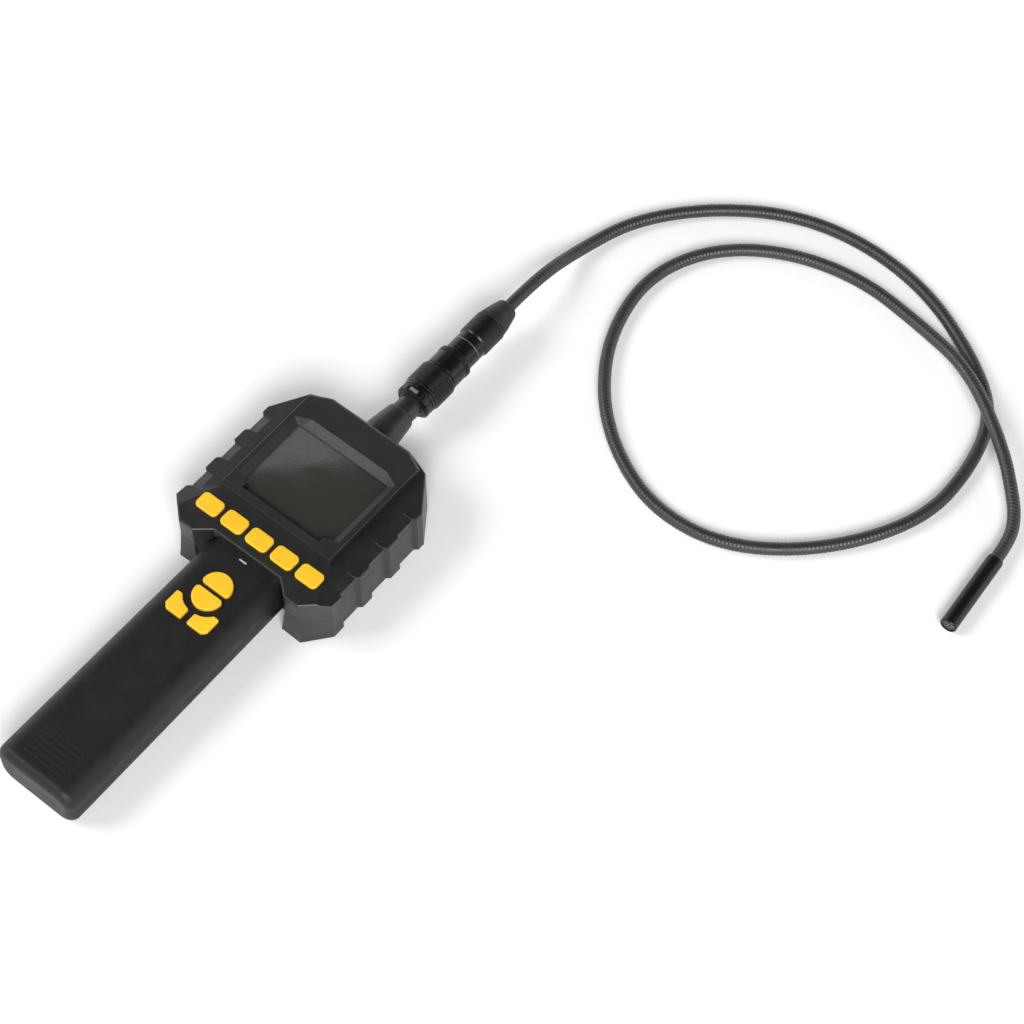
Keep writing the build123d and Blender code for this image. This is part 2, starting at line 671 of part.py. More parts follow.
# ---------------------------------------------------------------- handle shells
def butt_rounded_body():
    """Outside of the handle with its butt rounded."""
    with BuildPart() as body:
        add(handle_body(0, HANDLE_BUTT_Y, HANDLE_HEAD_Y))
        fillet(body.faces().sort_by(Axis.Y)[0].edges(), radius=BUTT_ROUNDING)
    return body.part


def handle_hollow():
    """Inside of the handle, open where the tongue ends in the head."""
    return handle_body(HANDLE_WALL, HANDLE_BUTT_Y + HANDLE_WALL, HANDLE_HEAD_Y + 2)


def handle_bosses(bottom, top):
    """Screw bosses of one handle shell, kept inside the rounded outside."""
    with BuildPart() as bosses:
        add(posts(HANDLE_SCREW_SPOTS, BOSS_RADIUS, bottom, top))
        add(handle_body(0.3, HANDLE_BUTT_Y, HANDLE_HEAD_Y), mode=Mode.INTERSECT)
    return bosses.part


def grip_ribs():
    """Raised finger ribs across the butt end of the handle's face."""
    with BuildPart() as ribs:
        for number in range(GRIP_RIB_COUNT):
            y = GRIP_RIB_Y + number * GRIP_RIB_PITCH
            with BuildSketch(Plane.XY.offset(HANDLE_DEPTH - 1)):
                with Locations((0, y)):
                    SlotOverall(24, 1.3)
            extrude(amount=1.35)
    return ribs.part


def handle_front_cover():
    middle = HANDLE_DEPTH / 2 + HANDLE_SPLIT_GAP / 2
    with BuildPart() as cover:
        add(butt_rounded_body())
        add(grip_ribs())
        add(handle_hollow(), mode=Mode.SUBTRACT)
        add(handle_bosses(middle, HANDLE_DEPTH))
        add(posts(HANDLE_BOARD_POSTS, 1.3, HANDLE_KEY_BOARD_TOP, HANDLE_DEPTH - 1))
        add(posts(HANDLE_SCREW_SPOTS, SCREW_SHANK + 0.05, 5, 24), mode=Mode.SUBTRACT)
        for outline, _ in HANDLE_KEYS.values():
            add(pad(grown(outline, KEY_GAP), 22, 32), mode=Mode.SUBTRACT)
        half_length, half_width = (size / 2 + 0.05 for size in INDICATOR_SIZE)
        slot_y = (INDICATOR_Y - half_width, INDICATOR_Y + half_width)
        add(block((-half_length, half_length), slot_y, (22, 32)), mode=Mode.SUBTRACT)
        add(block((-40, 40), (-160, 40), (-5, middle)), mode=Mode.SUBTRACT)
    return cover.part


def door_opening(gap):
    """Room for the battery door: its plate and the grooves for its tongues."""
    tongue_width, tongue_height = DOOR_TONGUE
    reach = DOOR_HALF_WIDTH + gap
    tongue_z = (DOOR_THICKNESS - tongue_height - gap, DOOR_THICKNESS + gap)
    with BuildPart() as room:
        add(block((-reach, reach), (-160, DOOR_HEAD_Y + gap), (-1, DOOR_THICKNESS + gap)))
        tongue_reach = reach + tongue_width
        add(block((-tongue_reach, tongue_reach), (-160, DOOR_HEAD_Y + gap), tongue_z))
    return room.part


def door_rails():
    """Thicker edges beside and ahead of the door, kept inside the rounded outside."""
    inner_x, outer_x = DOOR_HALF_WIDTH - 0.9, DOOR_HALF_WIDTH + 4.2
    rail_y = (HANDLE_BUTT_Y + 4, DOOR_HEAD_Y + 1.5)
    rail_z = (1.0, 3.2)
    with BuildPart() as rails:
        add(block((-outer_x, -inner_x), rail_y, rail_z))
        add(block((inner_x, outer_x), rail_y, rail_z))
        add(block((-outer_x, outer_x), (DOOR_HEAD_Y, DOOR_HEAD_Y + 1.5), rail_z))
        add(handle_body(0.2, HANDLE_BUTT_Y, HANDLE_HEAD_Y), mode=Mode.INTERSECT)
    return rails.part


def handle_rear_cover():
    middle = HANDLE_DEPTH / 2 - HANDLE_SPLIT_GAP / 2
    with BuildPart() as cover:
        add(butt_rounded_body())
        add(handle_hollow(), mode=Mode.SUBTRACT)
        add(handle_bosses(0, middle))
        add(door_rails())
        add(door_opening(DOOR_GAP), mode=Mode.SUBTRACT)
        battery_room = DOOR_HALF_WIDTH - 0.9
        room_y = (HANDLE_BUTT_Y + HANDLE_WALL, DOOR_HEAD_Y)
        add(block((-battery_room, battery_room), room_y, (-1, 6)), mode=Mode.SUBTRACT)
        add(screw_holes(HANDLE_SCREW_SPOTS, HANDLE_SCREW_SEAT_Z, 20), mode=Mode.SUBTRACT)
        add(block((-40, 40), (-160, 40), (middle, 40)), mode=Mode.SUBTRACT)
    return cover.part


def battery_cover():
    """Sliding door that follows the handle's back and rounded butt, with a ribbed thumb grip."""
    tongue_width, tongue_height = DOOR_TONGUE
    reach = DOOR_HALF_WIDTH + tongue_width
    tongue_z = (DOOR_THICKNESS - tongue_height, DOOR_THICKNESS)
    with BuildPart() as cover:
        add(butt_rounded_body())
        with BuildPart(mode=Mode.PRIVATE) as keep:
            add(block((-DOOR_HALF_WIDTH, DOOR_HALF_WIDTH), (-150, DOOR_HEAD_Y), (0, DOOR_THICKNESS)))
            add(block((-reach, reach), (HANDLE_BUTT_Y + 6, DOOR_HEAD_Y), tongue_z))
        add(keep.part, mode=Mode.INTERSECT)
        for number in range(5):
            y = -128 + number * 2.6
            add(block((-9, 9), (y, y + 1.2), (-0.1, 0.5)), mode=Mode.SUBTRACT)
    return cover.part


def indicator_light():
    """Light pipe: a bar in the handle's face with a foot under it."""
    half_length, half_width = (size / 2 for size in INDICATOR_SIZE)
    with BuildPart() as light:
        bar_y = (INDICATOR_Y - half_width, INDICATOR_Y + half_width)
        add(block((-half_length, half_length), bar_y, (HANDLE_CEILING_Z - 0.2, HANDLE_DEPTH + 0.1)))
        foot_y = (INDICATOR_Y - 1.5, INDICATOR_Y + 1.5)
        add(block((-3.4, 3.4), foot_y, (HANDLE_KEY_BOARD_TOP + 0.4, HANDLE_CEILING_Z - 0.1)))
    return light.part


# ---------------------------------------------------------------- batteries
CELL_ENDS = [CELL_HEAD_END_Y, CELL_HEAD_END_Y - CELL_LENGTH - CELL_NIPPLE[1] - CELL_STACK_GAP]
STACK_BUTT_Y = CELL_ENDS[1] - CELL_LENGTH - CELL_NIPPLE[1]


def battery(column, row):
    """AA cell whose positive cap points to the head in one column and to the butt in the other."""
    x = column * CELL_X
    head_end = CELL_ENDS[row]
    nipple_radius, nipple_height = CELL_NIPPLE[0] / 2, CELL_NIPPLE[1]
    length = CELL_LENGTH + nipple_height
    radius = CELL_DIAMETER / 2
    profile = [(0, 0), (0, radius - 0.6), (0.6, radius), (CELL_LENGTH - 0.6, radius),
               (CELL_LENGTH, radius - 0.6), (CELL_LENGTH, nipple_radius), (length, nipple_radius),
               (length, 0)]
    start_y = head_end - length if column > 0 else head_end
    frame = Plane(origin=(x, start_y, CELL_Z), x_dir=(0, column, 0), z_dir=(1, 0, 0))
    return turned(profile, frame)


def battery_tray():
    """Open-backed cradle around the cells, with end walls for the contacts."""
    half_width = CELL_X + CELL_DIAMETER / 2 + 0.5
    top = CELL_Z + CELL_DIAMETER / 2 + 0.3
    butt_wall = (-143.4, -142.2)
    head_wall = (CELL_HEAD_END_Y + 1.2, CELL_HEAD_END_Y + 2.4)
    with BuildPart() as tray:
        add(block((-half_width, half_width), (butt_wall[0], head_wall[1]), (3.2, top)))
        add(block((-17.6, 17.6), (butt_wall[0] + 2, head_wall[1]), (3.2, 4.4)))
        inner_x = half_width - TRAY_WALL
        add(block((-inner_x, inner_x), (butt_wall[1], head_wall[0]), (0, top - 0.3)), mode=Mode.SUBTRACT)
        for column in (-1, 1):
            frame = Plane(origin=(column * CELL_X, 0, CELL_Z), x_dir=(0, 1, 0), z_dir=(1, 0, 0))
            radius = CELL_DIAMETER / 2 + 0.2
            room = [(butt_wall[1], 0), (butt_wall[1], radius), (head_wall[0], radius), (head_wall[0], 0)]
            add(turned(room, frame), mode=Mode.SUBTRACT)
    return tray.part


def battery_contacts():
    """Flat sprung plates against the cells' head ends, and the plate that joins the columns."""
    head_y = (CELL_HEAD_END_Y + 0.3, CELL_HEAD_END_Y + 0.9)
    with BuildPart() as plates:
        for column in (-1, 1):
            x_range = (column * CELL_X - 4.5, column * CELL_X + 4.5)
            add(block(x_range, head_y, (CELL_Z - 4.5, CELL_Z + 4.5)))
        add(block((-12.5, 12.5), (-142.1, -141.6), (CELL_Z - 4.5, CELL_Z + 4.5)))
    return plates.part


def battery_springs():
    """Coil springs between the joining plate and the cells' butt ends."""
    wire_radius = 0.42
    start_y = -141.55 + wire_radius
    height = STACK_BUTT_Y - 0.15 - wire_radius - start_y
    with BuildPart() as springs:
        for column in (-1, 1):
            centre = (column * CELL_X, start_y, CELL_Z)
            coil = Helix(pitch=height / 2.5, height=height, radius=3.6, center=centre,
                         direction=(0, 1, 0))
            with BuildSketch(Plane(origin=coil @ 0, z_dir=coil % 0)):
                Circle(wire_radius)
            sweep(path=coil, is_frenet=True)
    return springs.part


# ---------------------------------------------------------------- neck and cable socket
def neck():
    """Tapered neck with a square flange inside the head and a bore for the wires."""
    profile = [(94.6, 3.5), (94.6, 9.9), (98.8, 9.9), (98.8, 8.9), (100.2, 8.9), (100.2, 9.9),
               (104.0, 9.9), (110.0, 9.6), (122.0, 8.0), (123.2, 7.6), (NECK_STEP_Y, 6.6), (SOCKET_Y, 6.6),
               (SOCKET_Y, 5.0), (134.0, 5.0), (134.0, 3.5)]
    with BuildPart() as piece:
        add(block((-13, 13), (94.6, 97.1), (7.0, FACE_CEILING_Z - 0.2)))
        add(turned(profile))
        add(turned([(90, 0), (90, 3.5), (140, 3.5), (140, 0)]), mode=Mode.SUBTRACT)
    return piece.part


def neck_seal():
    return turned(ring_profile(98.95, 100.05, 8.95, 10.0, 0.3))


def socket_ring():
    """Coupling collar with finger notches and an index window on top."""
    profile = [(SOCKET_Y, 7.8), (SOCKET_Y, 8.6), (SOCKET_Y + 1.2, 10.15), (136.6, 10.15), (136.6, 9.7),
               (137.3, 9.7), (137.3, 10.15), (138.9, 10.15), (138.9, 7.8)]
    with BuildPart() as ring:
        add(turned(profile))
        add(block((-2.5, 2.5), (133.3, 135.4), (AXIS_Z + 7.95, AXIS_Z + 12)), mode=Mode.SUBTRACT)
        with BuildSketch(cross_plane(SOCKET_Y - 1)):
            with PolarLocations(10.5, 11, start_angle=30, angular_range=300):
                Circle(0.8)
        extrude(amount=5.2, mode=Mode.SUBTRACT)
    return ring.part


def index_mark():
    """Bright inlay that shows where the plug's key lines up."""
    with BuildPart() as mark:
        add(block((-2.45, 2.45), (133.35, 135.35), (AXIS_Z + 8.0, AXIS_Z + 9.85)))
        fillet(mark.faces().sort_by(Axis.Z)[-1].edges(), radius=0.2)
    return mark.part


def socket_shell():
    """Metal cup of the socket, around the neck's end and the contact insert."""
    profile = [(SOCKET_Y + 0.2, 5.1), (SOCKET_Y + 0.2, 7.7), (SPIGOT_END_Y - 0.4, 7.7),
               (SPIGOT_END_Y, 7.3), (SPIGOT_END_Y, 6.3), (134.3, 6.3), (134.3, 5.1)]
    return turned(profile)


def socket_insert():
    with BuildPart() as insert:
        add(turned([(134.4, 0), (134.4, 6.2), (141.0, 6.2), (141.0, 0)]))
        holes = pin_group(CABLE_FRAME, 134.0, 142.0, 0.9, PIN_CIRCLE_RADIUS, PIN_COUNT)
        add(holes, mode=Mode.SUBTRACT)
    return insert.part


def socket_contacts():
    with BuildPart() as tubes:
        add(pin_group(CABLE_FRAME, 134.4, 140.8, 0.85, PIN_CIRCLE_RADIUS, PIN_COUNT))
        bores = pin_group(CABLE_FRAME, 135.5, 142.0, 0.6, PIN_CIRCLE_RADIUS, PIN_COUNT)
        add(bores, mode=Mode.SUBTRACT)
    return tubes.part


# ---------------------------------------------------------------- plug on the cable
def plug_body():
    nose = 6.1
    neck_radius = 6.9
    flange_start, flange_end = PLUG_FLANGE_Y
    profile = [(141.3, 4.6), (141.3, nose), (146.4, nose), (146.4, 7.7), (148.8, 7.7),
               (148.8, neck_radius), (PLUG_SHOULDER_Y, neck_radius), (PLUG_SHOULDER_Y, 9.4),
               (PLUG_SHOULDER_Y + 0.5, 9.85), (164.1, 9.85), (164.1, 9.5), (flange_start, 9.5),
               (flange_start, 10.05), (165.6, 10.05), (165.6, 9.6), (166.1, 9.6), (166.1, 10.05),
               (flange_end - 0.6, 10.05), (flange_end, 9.4), (flange_end, 8.45),
               (175.7, 8.45), (175.7, 8.05), (176.3, 8.05), (176.3, 8.45),
               (SLEEVE_Y[0], 8.45), (SLEEVE_Y[0], 6.5), (190.0, 6.5), (190.0, 4.6)]
    return turned(profile)


def plug_insert():
    with BuildPart() as insert:
        add(turned([(141.4, 0), (141.4, 4.55), (152.0, 4.55), (152.0, 0)]))
        holes = pin_group(CABLE_FRAME, 141.0, 153.0, 0.5, PIN_CIRCLE_RADIUS, PIN_COUNT)
        add(holes, mode=Mode.SUBTRACT)
    return insert.part


def plug_pins():
    return pin_group(CABLE_FRAME, 136.2, 151.5, 0.45, PIN_CIRCLE_RADIUS, PIN_COUNT)


def ribbed_side(start, end, radius, pitch, depth):
    """Outer profile points of a turned grip with fine rings."""
    points = []
    count = int((end - start) / pitch)
    for number in range(count):
        y = start + number * pitch
        points += [(y, radius - depth), (y + 0.3 * pitch, radius), (y + 0.7 * pitch, radius),
                   (y + pitch, radius - depth)]
    return points


def coupling_nut():
    start, end = NUT_Y
    bore = 7.7 + 0.2
    lip = 6.9 + RUNNING_GAP
    grip = ribbed_side(start + 1.6, end - 1.2, NUT_RADIUS, 0.76, 0.3)
    profile = [(start, bore), (start, NUT_RADIUS - 0.8), (start + 0.4, NUT_RADIUS - 0.4),
               (start + 1.6, NUT_RADIUS - 0.4), *grip, (end - 0.5, NUT_RADIUS - 0.35),
               (end, NUT_RADIUS - 1.2), (end, lip), (149.0, lip), (149.0, bore)]
    return turned(profile)


def retaining_ring():
    return turned(ring_profile(175.75, 176.25, 8.1, 8.55, 0.1))


def grip_sleeve():
    start, end = SLEEVE_Y
    grip = ribbed_side(start + 0.8, end - 0.8, 9.25, 0.76, 0.25)
    profile = [(start + 0.05, 6.55), (start + 0.05, 8.6), (start + 0.6, 9.0), *grip,
               (end - 0.5, 9.0), (end, 8.7), (end, 6.55)]
    return turned(profile)


def strain_relief():
    """Soft cone at the back of the plug that closes down on the cable."""
    start = SLEEVE_Y[1]
    with BuildPart() as relief:
        with BuildSketch(CABLE_FRAME):
            with BuildLine():
                Polyline((190.1, 0), (190.1, 6.45), (start + 0.05, 6.45), (start + 0.05, 8.75),
                         (200.5, 8.2), (208.2, 6.3))
                ThreePointArc((208.2, 6.3), (209.7, 5.6), (RELIEF_END_Y, 4.3))
                Line((RELIEF_END_Y, 4.3), (RELIEF_END_Y, 0))
                Line((RELIEF_END_Y, 0), (190.1, 0))
            make_face()
        revolve(axis=Axis(CABLE_FRAME.origin, CABLE_FRAME.x_dir))
    return relief.part


# ---------------------------------------------------------------- gooseneck cable
def corner_radii(route):
    """Arc radius at each inner corner: 0.45 of the shorter run over the tangent of half the turn."""
    points = [Vector(*point) for point in route]
    radii = []
    for before, corner, after in zip(points, points[1:], points[2:]):
        shorter = min((corner - before).length, (after - corner).length)
        turn = (corner - before).get_angle(after - corner)
        radii.append(0.45 * shorter / math.tan(math.radians(turn / 2)))
    return radii


def gooseneck_cable():
    radii = corner_radii(CABLE_ROUTE)
    with BuildPart() as cable:
        with BuildLine() as path:
            FilletPolyline(*CABLE_ROUTE, radius=radii)
        centre_line = path.wires()[0]
        with BuildSketch(Plane(origin=centre_line @ 0, z_dir=centre_line % 0)):
            Circle(CABLE_DIAMETER / 2)
        sweep(path=centre_line)
    length = centre_line.length
    expected = length * math.pi * CABLE_DIAMETER ** 2 / 4
    print("cable radii", [round(radius) for radius in radii])
    print(f"cable length {length:.1f} volume {cable.part.volume:.0f} expected {expected:.0f}")
    return cable.part


# ---------------------------------------------------------------- camera probe
FERRULE_END = 15.5
TIP_RING_START = 43.6
GLASS_START = 46.7


def camera_ferrule():
    """Rear shell of the probe, rounded down to the cable."""
    with BuildPart() as ferrule:
        with BuildSketch(PROBE_FRAME):
            with BuildLine():
                Polyline((FERRULE_END, PROBE_RADIUS), (2.6, PROBE_RADIUS))
                ThreePointArc((2.6, PROBE_RADIUS), (0.9, 4.25), (0.05, 3.7))
                Polyline((0.05, 3.7), (0.05, 0), (FERRULE_END + 4, 0), (FERRULE_END + 4, 3.6),
                         (FERRULE_END, 3.6), (FERRULE_END, PROBE_RADIUS))
            make_face()
        revolve(axis=Axis(PROBE_FRAME.origin, PROBE_FRAME.x_dir))
    return ferrule.part


def camera_housing():
    profile = [(FERRULE_END + 0.12, 3.65), (FERRULE_END + 0.12, 4.35), (FERRULE_END + 0.4, PROBE_RADIUS),
               (TIP_RING_START - 0.1, PROBE_RADIUS), (TIP_RING_START - 0.1, 3.65)]
    return turned(profile, PROBE_FRAME)


def camera_tip_ring():
    """Metal ring that holds the front glass."""
    profile = [(TIP_RING_START, 3.3), (TIP_RING_START, PROBE_RADIUS), (PROBE_LENGTH - 0.6, PROBE_RADIUS),
               (PROBE_LENGTH, 4.0), (PROBE_LENGTH, 3.75), (GLASS_START + 0.5, 3.75),
               (GLASS_START, 3.75), (GLASS_START, 3.3)]
    return turned(profile, PROBE_FRAME)


def lens_window():
    profile = [(GLASS_START, 0), (GLASS_START, 3.7), (GLASS_START + 0.6, 3.7), (GLASS_START + 0.6, 0)]
    return turned(profile, PROBE_FRAME)


def lens_barrel():
    profile = [(39.6, 0), (39.6, 2.0), (44.6, 2.0), (44.6, 1.6), (46.2, 1.6), (46.2, 1.1), (45.6, 0.9),
               (45.6, 0)]
    return turned(profile, PROBE_FRAME)


def led_board():
    return turned([(44.7, 1.7), (44.7, 3.2), (45.4, 3.2), (45.4, 1.7)], PROBE_FRAME)


def camera_leds():
    return pin_group(PROBE_FRAME, 45.4, 46.1, 0.55, 2.5, 6)


def sensor_board():
    """Round board with the square image sensor behind the lens."""
    with BuildPart() as board:
        add(turned([(37.4, 0), (37.4, 3.5), (38.4, 3.5), (38.4, 0)], PROBE_FRAME))
        with BuildSketch(cross_plane(38.3, PROBE_FRAME)):
            Rectangle(4, 4)
        extrude(amount=1.2)
    return board.part


# ---------------------------------------------------------------- write every piece
SCREEN_KEY_SPOTS = screen_key_places()
HANDLE_SWITCH_SPOTS = [spot for _, spot in HANDLE_KEYS.values()]

PIECES = [
    head_front_cover, head_rear_cover, screen_bezel, screen_window, display_module, main_board,
    board_components, board_screws, screen_key_board, handle_front_cover, handle_rear_cover,
    battery_cover, indicator_light, handle_key_board, battery_tray, battery_contacts,
    battery_springs, neck, neck_seal, socket_ring, index_mark, socket_shell, socket_insert,
    socket_contacts, plug_body, plug_insert, plug_pins, coupling_nut, retaining_ring, grip_sleeve,
    strain_relief, gooseneck_cable, camera_ferrule, camera_housing, camera_tip_ring, lens_window,
    lens_barrel, led_board, camera_leds, sensor_board,
]

for make_piece in PIECES:
    save(make_piece.__name__, make_piece())

for number, place in enumerate(SCREEN_KEY_SPOTS, start=1):
    save(f"screen_key_{number}", screen_key(place))
for key_name in HANDLE_KEYS:
    save(key_name, handle_key(key_name))
save("screen_key_switches", switch_group(SCREEN_KEY_SPOTS, SCREEN_KEY_BOARD_TOP))
save("handle_key_switches", switch_group(HANDLE_SWITCH_SPOTS, HANDLE_KEY_BOARD_TOP))
save("head_screws", screws(HEAD_SCREW_SPOTS, HEAD_SCREW_SEAT_Z, FLANK_CEILING_Z + 0.8))
save("handle_screws", screws(HANDLE_SCREW_SPOTS, HANDLE_SCREW_SEAT_Z, 23.5))
for number, (column, row) in enumerate([(-1, 0), (1, 0), (-1, 1), (1, 1)], start=1):
    save(f"battery_{number}", battery(column, row))
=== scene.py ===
import json
import math

import bpy
import numpy as np
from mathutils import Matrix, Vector


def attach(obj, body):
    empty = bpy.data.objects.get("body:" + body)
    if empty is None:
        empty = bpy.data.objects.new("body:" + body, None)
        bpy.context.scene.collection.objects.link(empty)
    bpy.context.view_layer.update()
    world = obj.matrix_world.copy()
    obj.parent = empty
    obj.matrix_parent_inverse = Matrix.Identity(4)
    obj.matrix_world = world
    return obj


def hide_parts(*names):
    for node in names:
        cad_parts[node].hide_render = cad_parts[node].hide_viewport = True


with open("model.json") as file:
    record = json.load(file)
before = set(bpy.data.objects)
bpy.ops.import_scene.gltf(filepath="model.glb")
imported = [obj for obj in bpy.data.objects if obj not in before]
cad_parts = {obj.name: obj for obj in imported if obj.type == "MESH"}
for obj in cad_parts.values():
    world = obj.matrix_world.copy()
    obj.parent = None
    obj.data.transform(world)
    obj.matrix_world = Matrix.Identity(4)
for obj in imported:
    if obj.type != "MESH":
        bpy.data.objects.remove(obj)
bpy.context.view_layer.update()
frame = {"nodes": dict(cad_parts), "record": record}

MM = 0.001

# ---------------------------------------------------------------- camera
AZIMUTH, ELEVATION = 39.06, 58.47
AIM = Vector((0.0738, 0.1227, 0.0))
DISTANCE = 1.4
LENS = 96.68
SENSOR_WIDTH = 36.0
CLIP_NEAR, CLIP_FAR = 0.01, 20.0

# ---------------------------------------------------------------- surroundings, in metres and watts
FLOOR_HALF = 6.0
FLOOR_LEVEL = -0.0002           # a hair under the object, so that no two faces share a plane
HORIZON_LIGHT = 1.75
CEILING_LIGHT = 0.04
HORIZON_HEIGHT, CEILING_HEIGHT = 0.15, 0.65     # on a sphere of radius 1: the light fades between them
STUDIO_TARGET = (0.1, 0.2, 0)
STUDIO_LIGHT_SIZE = (2.4, 1.8)
KEY_PLACE, KEY_POWER = (2.6, -2.2, 3.0), 190
FILL_PLACE, FILL_POWER = (-2.6, -1.6, 3.0), 95
# a small panel whose reflection lies on the upper left of the screen's cover
PANEL_PLACE = (-0.475, 0.523, 0.93)
PANEL_TARGET = (-0.029, 0.079, 0.033)
PANEL_SIZE, PANEL_POWER = (0.22, 0.13), 0.15

# ---------------------------------------------------------------- gooseneck, in millimetres
CABLE_DIAMETER = 7.0
CORRUGATION_PITCH = 2.0
CORRUGATION_DEPTH = 0.34
CORRUGATION_POWER = 0.6         # under 1 makes the ridges wide and the valleys narrow
CABLE_SIDES = 24
SAMPLES_PER_SPAN = 100
SAME_POINT = 1e-6               # metres: points closer than this are one point
AXIS_Z = 18.6
FLOOR_Z = CABLE_DIAMETER / 2
CROSSING_Z = 11.2
PROBE_Z = 4.5
CABLE_ROUTE = [
    (0.0, 210.5, AXIS_Z), (0.0, 236.0, AXIS_Z), (-1.0, 271.0, 4.5), (9.6, 307.4, FLOOR_Z),
    (37.6, 340.5, FLOOR_Z), (75.6, 365.5, FLOOR_Z), (117.7, 373.5, FLOOR_Z), (162.6, 367.4, FLOOR_Z),
    (205.3, 346.0, FLOOR_Z), (231.0, 324.4, FLOOR_Z), (241.0, 291.2, FLOOR_Z), (240.4, 249.2, FLOOR_Z),
    (212.8, 204.0, FLOOR_Z), (172.8, 172.9, FLOOR_Z), (131.4, 167.2, FLOOR_Z), (95.2, 181.7, FLOOR_Z),
    (66.2, 206.1, FLOOR_Z), (45.4, 240.3, FLOOR_Z), (38.2, 281.6, FLOOR_Z), (53.4, 317.6, FLOOR_Z),
    (86.0, 342.2, FLOOR_Z), (128.0, 352.6, FLOOR_Z), (171.0, 346.8, 4.0), (209.0, 334.6, CROSSING_Z),
    (249.0, 305.6, CROSSING_Z), (268.2, 287.0, 6.4), (276.2, 277.0, 4.9), (280.8, 265.2, PROBE_Z),
    (281.6, 252.5, PROBE_Z),
]

# ---------------------------------------------------------------- knurled grip sleeve, in millimetres
SLEEVE_Y = (180.95, 196.4)
SLEEVE_RADIUS = 9.25
SLEEVE_INNER_RADIUS = 6.6
KNURL_COUNT = 38
KNURL_DEPTH = 0.3
KNURL_POWER = 0.5               # under 1 makes the diamonds wide and the grooves narrow
KNURL_LEAD = 1.9                # along the sleeve, from one diamond to the next
RIM_WIDTH = 0.8
RIM_STEP = 0.35                 # how far the rim lies below the knurl, and its outer edge below the rim
RIM_EDGE_WIDTH = 0.3
SLEEVE_SIDES = KNURL_COUNT * 6
SLEEVE_ROWS = 70

# ---------------------------------------------------------------- surfaces, relief in metres
NOISE_ROUGHNESS = 0.6
BEVEL_SAMPLES = 6
SHEEN_SPREAD = 0.06
FAINT_RELIEF = 0.00001
FILM_RELIEF = 0.000004


# ---------------------------------------------------------------- camera and cable
def make_camera():
    """Camera that looks at AIM from DISTANCE metres away."""
    data = bpy.data.cameras.new("camera")
    data.lens = LENS
    data.sensor_width = SENSOR_WIDTH
    data.clip_start = CLIP_NEAR
    data.clip_end = CLIP_FAR
    camera = bpy.data.objects.new("camera", data)
    bpy.context.scene.collection.objects.link(camera)
    azimuth, elevation = math.radians(AZIMUTH), math.radians(ELEVATION)
    back = Vector((math.sin(azimuth) * math.cos(elevation),
                   -math.cos(azimuth) * math.cos(elevation),
                   math.sin(elevation)))
    camera.location = AIM + back * DISTANCE
    camera.rotation_mode = "QUATERNION"
    camera.rotation_quaternion = (-back).to_track_quat("-Z", "Y")
    bpy.context.scene.camera = camera


def mesh_object(name, vertices, faces, smooth=True):
    """New mesh object from points in metres."""
    mesh = bpy.data.meshes.new(name)
    mesh.from_pydata([tuple(v) for v in vertices], [], faces)
    mesh.update()
    for polygon in mesh.polygons:
        polygon.use_smooth = smooth
    obj = bpy.data.objects.new(name, mesh)
    bpy.context.scene.collection.objects.link(obj)
    return obj


def cable_centre_line():
    """Points of the smooth line that the cable's route controls, in metres."""
    curve = bpy.data.curves.new("cable_line", "CURVE")
    curve.dimensions = "3D"
    spline = curve.splines.new("NURBS")
    spline.points.add(len(CABLE_ROUTE) - 1)
    for point, (x, y, z) in zip(spline.points, CABLE_ROUTE):
        point.co = (x * MM, y * MM, z * MM, 1.0)
    spline.order_u = 3
    spline.use_endpoint_u = True
    spline.resolution_u = SAMPLES_PER_SPAN
    holder = bpy.data.objects.new("cable_line", curve)
    bpy.context.scene.collection.objects.link(holder)
    bpy.context.view_layer.update()
    line = bpy.data.meshes.new_from_object(holder)
    points = np.array([vertex.co[:] for vertex in line.vertices])
    bpy.data.objects.remove(holder)
    bpy.data.curves.remove(curve)
    bpy.data.meshes.remove(line)
    steps = np.linalg.norm(np.diff(points, axis=0), axis=1)
    return points[np.concatenate(([True], steps > SAME_POINT))]


def carried_frames(points):
    """Two directions square to the line at each point, carried along without twist."""
    tangents = np.gradient(points, axis=0)
    tangents /= np.linalg.norm(tangents, axis=1)[:, None]
    side = np.cross(tangents[0], (0.0, 0.0, 1.0))
    sides = []
    for tangent in tangents:
        side = side - tangent * np.dot(side, tangent)
        side = side / np.linalg.norm(side)
        sides.append(side)
    sides = np.array(sides)
    return sides, np.cross(tangents, sides)


def make_cable():
    """Corrugated sleeve: round ridges and narrower valleys along the whole line."""
    points = cable_centre_line()
    sides, ups = carried_frames(points)
    steps = np.linalg.norm(np.diff(points, axis=0), axis=1)
    along = np.concatenate(([0.0], np.cumsum(steps))) / MM
    wave = np.abs(np.cos(np.pi * along / CORRUGATION_PITCH)) ** CORRUGATION_POWER
    radii = (CABLE_DIAMETER / 2 - CORRUGATION_DEPTH * (1.0 - wave)) * MM
    angles = np.linspace(0, 2 * np.pi, CABLE_SIDES, endpoint=False)
    rings = (points[:, None, :]
             + radii[:, None, None] * (np.cos(angles)[None, :, None] * sides[:, None, :]
                                       + np.sin(angles)[None, :, None] * ups[:, None, :]))
    vertices = rings.reshape(-1, 3)
    faces = []
    for ring in range(len(points) - 1):
        start = ring * CABLE_SIDES
        for number in range(CABLE_SIDES):
            after = (number + 1) % CABLE_SIDES
            faces.append((start + number, start + number + CABLE_SIDES,
                          start + after + CABLE_SIDES, start + after))
    faces.append(tuple(range(CABLE_SIDES)))
    last = (len(points) - 1) * CABLE_SIDES
    faces.append(tuple(last + number for number in reversed(range(CABLE_SIDES))))
    cable = mesh_object("gooseneck", vertices, faces)
    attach(cable, "cable_and_probe")
    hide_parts("gooseneck_cable")
    return cable


